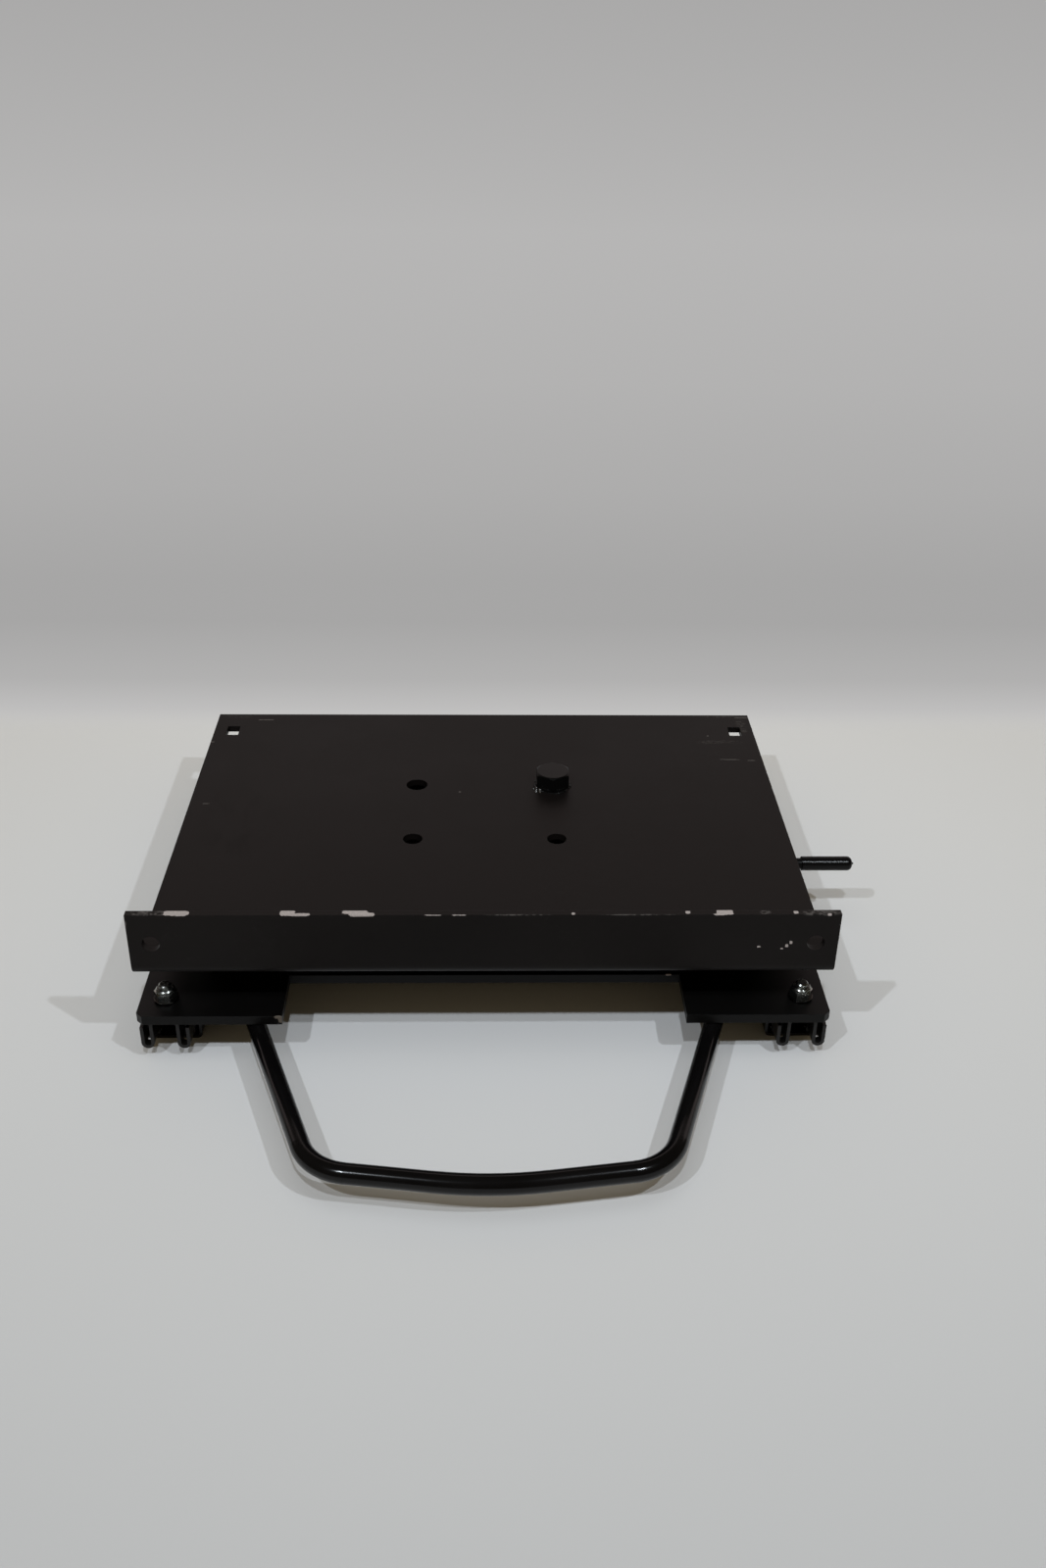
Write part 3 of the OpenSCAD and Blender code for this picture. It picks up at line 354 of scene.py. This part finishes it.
for part in frame["record"]["subparts"]:
    look = nodeLooks.get(part["node"], slotLooks[part["material_slot"]])
    mesh = nodes[part["node"]].data
    mesh.materials.clear()
    mesh.materials.append(looks[look])
print("materials are on the CAD nodes")


def addMesh(name, vertices, faces, look, smooth=True):
    mesh = bpy.data.meshes.new(name)
    mesh.from_pydata(vertices, [], faces)
    mesh.materials.append(looks[look])
    mesh.polygons.foreach_set("use_smooth", [smooth] * len(faces))
    mesh.update()
    made = bpy.data.objects.new(name, mesh)
    bpy.context.scene.collection.objects.link(made)
    return made


def socketId(group, name):
    inputs = (item for item in group.interface.items_tree if item.in_out == "INPUT")
    return next(item.identifier for item in inputs if item.name == name)


# Turns a chain of edges into a round wire
def wireGroup():
    group = bpy.data.node_groups.new("wireSweep", "GeometryNodeTree")
    face = group.interface
    face.new_socket("Path", in_out="INPUT", socket_type="NodeSocketGeometry")
    face.new_socket("Radius", in_out="INPUT", socket_type="NodeSocketFloat")
    face.new_socket("Sides", in_out="INPUT", socket_type="NodeSocketInt")
    face.new_socket("Look", in_out="INPUT", socket_type="NodeSocketMaterial")
    face.new_socket("Wire", in_out="OUTPUT", socket_type="NodeSocketGeometry")
    new, link = group.nodes.new, group.links.new
    into, out = new("NodeGroupInput"), new("NodeGroupOutput")
    toCurve, circle = new("GeometryNodeMeshToCurve"), new("GeometryNodeCurvePrimitiveCircle")
    sweep, smooth = new("GeometryNodeCurveToMesh"), new("GeometryNodeSetShadeSmooth")
    real, paint = new("GeometryNodeRealizeInstances"), new("GeometryNodeSetMaterial")
    link(into.outputs["Path"], toCurve.inputs[0])
    link(into.outputs["Sides"], circle.inputs["Resolution"])
    link(into.outputs["Radius"], circle.inputs["Radius"])
    link(toCurve.outputs[0], sweep.inputs["Curve"])
    link(circle.outputs[0], sweep.inputs["Profile Curve"])
    sweep.inputs["Fill Caps"].default_value = True
    link(sweep.outputs[0], smooth.inputs[0])
    link(smooth.outputs[0], real.inputs[0])
    link(real.outputs[0], paint.inputs["Geometry"])
    link(into.outputs["Look"], paint.inputs["Material"])
    link(paint.outputs[0], out.inputs[0])
    return group


sweepGroup = wireGroup()


def sweepWire(name, points, radius, look, sides=10):
    mesh = bpy.data.meshes.new(name + "Path")
    mesh.from_pydata(points, [(i, i + 1) for i in range(len(points) - 1)], [])
    path = bpy.data.objects.new(name + "Path", mesh)
    bpy.context.scene.collection.objects.link(path)
    step = path.modifiers.new("sweep", "NODES")
    step.node_group = sweepGroup
    for key, value in (("Radius", radius), ("Sides", sides), ("Look", looks[look])):
        step[socketId(sweepGroup, key)] = value
    bpy.context.view_layer.update()
    shape = bpy.data.meshes.new_from_object(path.evaluated_get(bpy.context.evaluated_depsgraph_get()))
    shape.name = name
    path.modifiers.remove(step)
    bpy.data.objects.remove(path)
    if not shape.materials:
        shape.materials.append(looks[look])
    made = bpy.data.objects.new(name, shape)
    bpy.context.scene.collection.objects.link(made)
    return made


# Points round an axis, from start to end along it
def helix(centre, axis, side, radius, start, end, turns, perTurn=20, phase=0.0):
    axis, side = Vector(axis), Vector(side)
    up = axis.cross(side)
    steps = int(turns * perTurn)
    points = []
    for i in range(steps + 1):
        a = phase + 2 * math.pi * turns * i / steps
        along = start + (end - start) * i / steps
        points.append(Vector(centre) + axis * along + side * (radius * math.cos(a)) + up * (radius * math.sin(a)))
    return points


# Points on part of a ring, from one angle to another in degrees
def ring(centre, across, along, radius, angles):
    centre, across, along = Vector(centre), Vector(across), Vector(along)
    turns = [math.radians(degrees) for degrees in angles]
    return [centre + across * (radius * math.cos(a)) + along * (radius * math.sin(a)) for a in turns]


# Gaps are how far the coil's ends lie from the box of the plain spring, and grips how far each end moves as one
leverSpringLook = {"wire": 0.00055, "radius": 0.003, "turns": 17, "hook": 0.0024, "eye": 0.0018,
                   "gaps": (0.0035, 0.0045), "grips": (0.004, 0.005)}


def pullLeverSpring():
    look = leverSpringLook
    low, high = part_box("lever_spring")
    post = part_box("spring_post")
    y, z = (low[1] + high[1]) / 2, (low[2] + high[2]) / 2
    postX = (post[0][0] + post[1][0]) / 2
    start, end = low[0] + look["gaps"][0], high[0] - look["gaps"][1]
    hook = ring((postX, y, z), (1, 0, 0), (0, 1, 0), look["hook"], range(200, -1, -20))
    coil = helix((0, y, z), (1, 0, 0), (0, 0, 1), look["radius"], start, end, look["turns"], 22)
    lead = [Vector((start - 0.001, y, z + 0.001))]
    eyeX = end + 0.0042
    tail = [Vector((end + 0.001, y, z + 0.001))]
    tail += ring((eyeX, y, z), (1, 0, 0), (0, 0, 1), look["eye"], range(160, -161, -20))
    return sweepWire("leverSpringWire", hook + lead + coil + tail, look["wire"], "springWire", 8)


leverSpring = pullLeverSpring()
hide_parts("lever_spring")
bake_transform(leverSpring)


latchSpringLook = {"wire": 0.00042, "radius": 0.00255, "turns": 12, "eye": 0.0016,
                   "gaps": (0.0018, 0.0012), "grips": (0.001, 0.002)}


def pullLatchSpring(side):
    look = latchSpringLook
    low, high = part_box("latch_spring_" + side)
    x, y = (low[0] + high[0]) / 2, (low[1] + high[1]) / 2
    bottom, top = low[2] + look["gaps"][0], high[2] - look["gaps"][1]
    coil = helix((x, y, 0), (0, 0, 1), (1, 0, 0), look["radius"], bottom, top, look["turns"], 20)
    foot = ring((x, y, bottom - 0.0022), (0, 0, 1), (0, 1, 0), look["eye"], range(0, 301, 30))
    head = [Vector((x, y, top + 0.0004)), Vector((x, y, high[2] - 0.0003))]
    points = list(reversed(foot)) + coil + head
    return sweepWire("latchSpringWire" + side.capitalize(), points, look["wire"], "springWire", 8)


for side in ("left", "right"):
    spring = pullLatchSpring(side)
    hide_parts("latch_spring_" + side)
    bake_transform(spring)
print("springs are wound")


railThreadLook = {"pitch": 0.00125, "ridge": 0.00034, "radius": 0.004, "sunk": 0.75, "x": 0.2054, "ys": (-0.193, 0.107)}
pivotThreadLook = {"pitch": 0.002, "ridge": 0.0005, "radius": 0.008, "sunk": 0.72}


def cutRailThread(name, x, y):
    look = railThreadLook
    start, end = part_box("rail_nuts")[1][2] - 0.0016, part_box("rail_bolts")[1][2] - 0.0009
    radius = look["radius"] - look["ridge"] * look["sunk"]
    points = helix((x, y, 0), (0, 0, 1), (1, 0, 0), radius, start, end, (end - start) / look["pitch"], 24)
    return sweepWire(name, points, look["ridge"], "nutZinc", 4)


def cutPivotThread():
    look = pivotThreadLook
    start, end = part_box("pivot_bolt")[0][2] + 0.0004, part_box("pivot_nut")[0][2] + 0.002
    radius = look["radius"] - look["ridge"] * look["sunk"]
    points = helix((*pivotXY, 0), (0, 0, 1), (1, 0, 0), radius, start, end, (end - start) / look["pitch"], 28)
    return sweepWire("pivotThread", points, look["ridge"], "zinc", 4)


for i, (side, y) in enumerate([(side, y) for side in (-1, 1) for y in railThreadLook["ys"]]):
    thread = cutRailThread("railThread%d" % i, side * railThreadLook["x"], y)
    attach(thread, "carriage")
pivotThread = cutPivotThread()
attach(pivotThread, "swivel")
print("threads are cut")


# The bead round the pivot bolt's collar: its size, and where it swells (middle, half width in degrees, height)
beadLook = {"radius": 0.0132, "bead": 0.0010, "around": 200, "across": 12,
            "swells": ((205, 34, 1.6), (150, 22, 1.1), (300, 30, 1.2), (20, 24, 0.9), (85, 26, 1.0), (345, 20, 1.3))}


def layPivotBead():
    look = beadLook
    around, across = ((look["around"], look["across"]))
    rnd = random.Random(41)
    wobble = [rnd.uniform(0.0, 2 * math.pi) for _ in range(4)]
    vertices, faces = [], []
    for i in range(around):
        a = 2 * math.pi * i / around
        size = 0.45
        for middle, half, tall in look["swells"]:
            off = abs((math.degrees(a) - middle + 180) % 360 - 180) / half
            if off < 1:
                size = max(size, tall * math.sqrt(1 - off * off))
        size *= 1 + 0.09 * math.sin(a * 31 + wobble[0]) + 0.06 * math.sin(a * 53 + wobble[1])
        size *= 1 + 0.12 * math.sin(a * 5 + wobble[2])
        out = look["radius"] + 0.0003 * math.sin(a * 3 + wobble[3]) + 0.0006 * (size - 1)
        for j in range(across):
            b = 2 * math.pi * j / across
            r = out + look["bead"] * size * math.cos(b)
            z = plateTop + look["bead"] * size * 0.85 * math.sin(b)
            vertices.append((pivotXY[0] + r * math.cos(a), pivotXY[1] + r * math.sin(a), max(z, plateTop - 0.0006)))
    for i in range(around):
        for j in range(across):
            n, m = (i + 1) % around, (j + 1) % across
            faces.append((i * across + j, n * across + j, n * across + m, i * across + m))
    return addMesh("pivotBead", vertices, faces, "paintBolt")


# The bright tack at the front left of the collar: lumps as angle, distance from the pivot, width and height
tackLook = {"grid": 44, "reach": 0.0062,
            "lumps": ((223, 0.0134, 0.0017, 0.0021), (213, 0.0149, 0.0014, 0.0016), (204, 0.0136, 0.0013, 0.0018),
                      (219, 0.0166, 0.0011, 0.0009), (202, 0.0156, 0.0010, 0.0009), (231, 0.0150, 0.0010, 0.0010))}


def layPivotTack():
    look = tackLook
    steps = look["grid"]
    lumps = [(math.radians(angle), away, width, height) for angle, away, width, height in look["lumps"]]
    centres = [(pivotXY[0] + r * math.cos(a), pivotXY[1] + r * math.sin(a), w, h) for a, r, w, h in lumps]
    midX = sum(c[0] for c in centres) / len(centres)
    midY = sum(c[1] for c in centres) / len(centres)
    reach = look["reach"]
    vertices, faces = [], []
    for layer in (1, 0):
        for i in range(steps + 1):
            for j in range(steps + 1):
                x, y = midX + reach * (2 * i / steps - 1), midY + reach * (2 * j / steps - 1)
                tall = max(h * (1 - ((x - cx) ** 2 + (y - cy) ** 2) / w ** 2) for cx, cy, w, h in centres)
                tall += 0.00012 * math.sin(x * 5200) * math.sin(y * 4700)
                vertices.append((x, y, plateTop + max(tall, -0.0008) if layer else plateTop - 0.0011))
    row = steps + 1
    for layer in (0, 1):
        for i in range(steps):
            for j in range(steps):
                a = layer * row * row + i * row + j
                face = (a, a + row, a + row + 1, a + 1)
                faces.append(face if layer == 0 else tuple(reversed(face)))
    low = row * row
    for i in range(steps):
        sides = ((i, i + 1), (steps * row + i + 1, steps * row + i),
                 ((i + 1) * row, i * row), (i * row + steps, (i + 1) * row + steps))
        for a, b in sides:
            faces.append((a, b, b + low, a + low))
    return addMesh("pivotTack", vertices, faces, "weldSteel")


for weld in (layPivotBead(), layPivotTack()):
    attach(weld, "swivel")
print("weld is laid")


# Tones of the backdrop by the way along it in metres, as the camera sees them, and the one above that paint mirrors
stageLook = {"span": 6.0, "wallY": 2.9, "wallZ": 3.2, "bend": 0.9, "cove": (0.24, 0.30), "length": 4.0,
             "near": 0.33, "far": 0.82, "nearY": -0.85, "farY": 0.30,
             "tones": ((0.26, 0.56), (0.31, 0.50), (0.36, 0.44), (0.50, 0.385), (0.62, 0.385), (0.95, 0.42),
                       (1.5, 0.45), (2.5, 0.47), (3.4, 0.40), (3.7, 0.40)),
             "above": (0.68, 0.57, 0.55), "aboveSeen": (0.42, 0.416, 0.414)}


def paintStage():
    s = Shader("paintStage")
    look = stageLook
    x, y, z = s.axes()
    soft = s.noise(1.3, 2.0, 0.5)
    depth = s.ramp(y, look["nearY"], look["farY"], False)
    white = s.blend(depth, rgb(look["near"], look["near"], look["near"]), rgb(look["far"], look["far"], look["far"]))
    color = s.blend(s.math("MULTIPLY", s.ramp(soft, 0.3, 0.7), 0.04), white, rgb(0.3, 0.3, 0.3))
    s.finish(color, 0.8, 0.0, 0.1)
    way = s.math("DIVIDE", s.math("ADD", y, z), look["length"])
    glow = s.node("ShaderNodeEmission")
    stops = [(place / look["length"], (tone, tone * 0.99, tone * 0.985)) for place, tone in look["tones"]]
    rays = s.node("ShaderNodeLightPath").outputs
    mirrored, plain = (s.steps(way, stops + [(1.0, look[key])]) for key in ("above", "aboveSeen"))
    s.link(s.blend(rays["Is Camera Ray"], mirrored, plain), glow.inputs[0])
    seen = s.math("MAXIMUM", rays["Is Glossy Ray"], rays["Is Transmission Ray"])
    seen = s.math("MAXIMUM", rays["Is Camera Ray"], seen)
    factor = s.math("MULTIPLY", seen, s.ramp(s.math("ADD", y, z), *look["cove"]))
    mix = s.node("ShaderNodeMixShader")
    s.link(factor, mix.inputs[0])
    s.link(s.surface.outputs[0], mix.inputs[1])
    s.link(glow.outputs[0], mix.inputs[2])
    s.link(mix.outputs[0], s.out.inputs["Surface"])
    return s.material


def sweepBackdrop():
    look = stageLook
    half = look["span"]
    profile = [(-4.0, 0.0), (look["wallY"] - look["bend"], 0.0)]
    for i in range(1, 13):
        a = math.pi / 2 * i / 12
        profile.append((look["wallY"] - look["bend"] + look["bend"] * math.sin(a), look["bend"] * (1 - math.cos(a))))
    profile.append((look["wallY"], look["wallZ"]))
    vertices = [(x, y, z) for y, z in profile for x in (-half, half)]
    faces = [(2 * i, 2 * i + 1, 2 * i + 3, 2 * i + 2) for i in range(len(profile) - 1)]
    return addMesh("backdrop", vertices, faces, "stage")


looks["stage"] = paintStage()
backdrop = sweepBackdrop()

# Lamps that gleam are seen in polished metal
lampTint = (0.868, 0.932, 1.0)
lampAim = (0.0, -0.05, 0.03)
lampLooks = {
    "lampRight": {"spot": (0.625, -0.876, 1.344), "size": (0.035, 0.035), "power": 7.2, "gleams": True},
    "lampLeft": {"spot": (-0.698, -1.234, 1.639), "size": (0.04, 0.04), "power": 12.0, "gleams": True},
    "lampFront": {"spot": (0.0, -1.15, 1.55), "size": (0.05, 0.05), "power": 9.5},
    "softBox": {"spot": (0.0, -0.45, 1.9), "size": (1.5, 1.2), "power": 5.2},
}


def hangLamp(name):
    look = lampLooks[name]
    data = bpy.data.lights.new(name, "AREA")
    data.shape = "ELLIPSE"
    data.size, data.size_y = look["size"]
    data.energy = look["power"]
    data.color = lampTint
    lamp = bpy.data.objects.new(name, data)
    lamp.location = look["spot"]
    lamp.visible_glossy = look.get("gleams", False)
    aim = Vector(lampAim) - Vector(look["spot"])
    lamp.rotation_euler = aim.to_track_quat("-Z", "Y").to_euler()
    bpy.context.scene.collection.objects.link(lamp)


for name in lampLooks:
    hangLamp(name)

# The room's light: warm and soft on what it lights, pale to the camera, dim in polished metal
roomLook = {"tint": rgb(1.0, 0.80, 0.50), "seenTint": rgb(2.0, 1.98, 1.96), "dim": 0.05, "power": 0.24}


def lightRoom():
    look = roomLook
    world = bpy.data.worlds.new("room")
    world.use_nodes = True
    new, link = world.node_tree.nodes.new, world.node_tree.links.new
    room = world.node_tree.nodes["Background"]
    tint, rays, seen, power = (new("ShaderNode" + kind) for kind in ("Mix", "LightPath", "Math", "MapRange"))
    tint.data_type = "RGBA"
    tint.inputs[6].default_value = look["tint"]
    tint.inputs[7].default_value = look["seenTint"]
    seen.operation = "MAXIMUM"
    power.inputs["To Min"].default_value = look["dim"]
    power.inputs["To Max"].default_value = look["power"]
    link(rays.outputs["Is Camera Ray"], tint.inputs[0])
    link(rays.outputs["Is Camera Ray"], seen.inputs[0])
    link(rays.outputs["Is Diffuse Ray"], seen.inputs[1])
    link(seen.outputs[0], power.inputs["Value"])
    link(tint.outputs[2], room.inputs[0])
    link(power.outputs["Result"], room.inputs[1])
    bpy.context.scene.world = world


lightRoom()

# Focal length and height are in the picture's own dots, the sensor in mm
cameraLook = {"spot": (-0.0013, -0.9416, 0.6266), "pitch": 29.82, "yaw": 1.80, "roll": -0.95,
              "focal": 1481.5, "height": 1600, "sensor": 36.0}


def aimCamera():
    look = cameraLook
    pitch, yaw, roll = math.radians(look["pitch"]), math.radians(look["yaw"]), math.radians(look["roll"])
    ahead = Vector((math.sin(yaw) * math.cos(pitch), math.cos(yaw) * math.cos(pitch), -math.sin(pitch)))
    right = Vector((math.cos(yaw), -math.sin(yaw), 0.0))
    down = ahead.cross(right)
    turnedRight = right * math.cos(roll) + down * math.sin(roll)
    turnedDown = down * math.cos(roll) - right * math.sin(roll)
    data = bpy.data.cameras.new("photoCamera")
    data.sensor_width = look["sensor"]
    data.lens = look["focal"] / look["height"] * look["sensor"]
    data.clip_start = 0.01
    camera = bpy.data.objects.new("photoCamera", data)
    turn = Matrix((turnedRight, -turnedDown, -ahead)).transposed().to_4x4()
    camera.matrix_world = Matrix.Translation(look["spot"]) @ turn
    bpy.context.scene.collection.objects.link(camera)
    bpy.context.scene.camera = camera


aimCamera()
bpy.context.scene.view_settings.view_transform = "Standard"
print("stage is set")
